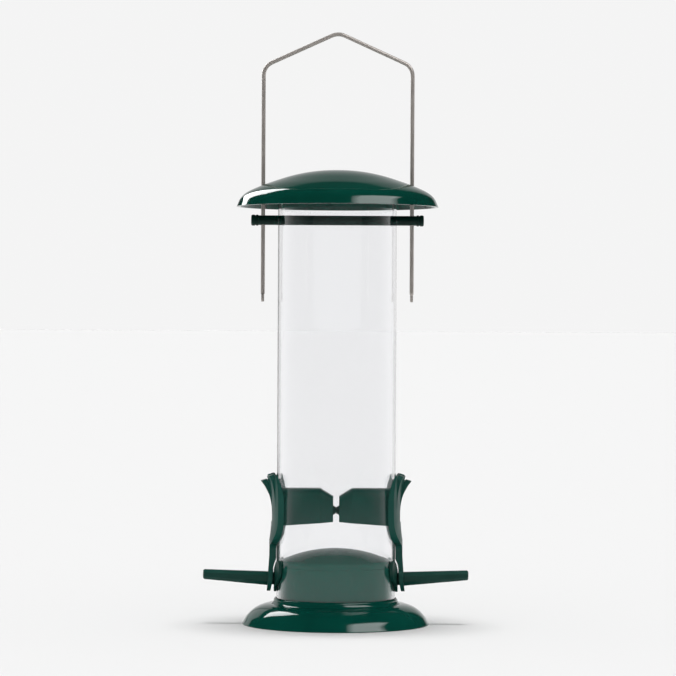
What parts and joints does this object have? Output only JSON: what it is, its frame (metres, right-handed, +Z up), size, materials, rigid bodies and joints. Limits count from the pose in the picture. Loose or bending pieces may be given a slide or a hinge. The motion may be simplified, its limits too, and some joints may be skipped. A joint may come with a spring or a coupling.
{
  "type": "hanging tube bird feeder",
  "caption": "Hanging seed feeder: a clear tube with green domed lid, dished base, flower-shaped feeding ports, perches and a sliding wire bail.",
  "frame": {"origin": "centre of the base's foot ring, on the surface the feeder stands on", "axes": "+Z up along the tube, +X through the right-hand port and perch, -Y towards the front, with the bail in the XZ plane"},
  "size_m": [0.134, 0.102, 0.2987],
  "materials": {
    "wire": "drawn nickel-plated wire, satin",
    "gloss_green": "glossy moulded plastic",
    "bar_green": "satin extruded plastic",
    "port_green": "satin moulded plastic",
    "perch_green": "satin moulded plastic",
    "clear_tube": "clear polycarbonate, polished"
  },
  "bodies": {
    "feeder": {"feeder_tube": "clear_tube", "crossbar": "bar_green", "crossbar_cap_left": "bar_green", "crossbar_cap_right": "bar_green", "base": "gloss_green", "port_left": "port_green", "port_right": "port_green", "perch_left": "perch_green", "perch_right": "perch_green"},
    "bail": {"hanger_wire": "wire"},
    "lid": {"lid": "gloss_green"}
  },
  "joints": [
    {"name": "bail_slide", "type": "slide", "parent": "feeder", "child": "bail", "axis": [0, 0, 1], "range_m": [0, 0.034]},
    {"name": "lid_lift", "type": "slide", "parent": "feeder", "child": "lid", "axis": [0, 0, 1], "range_m": [0, 0.052]}
  ]
}
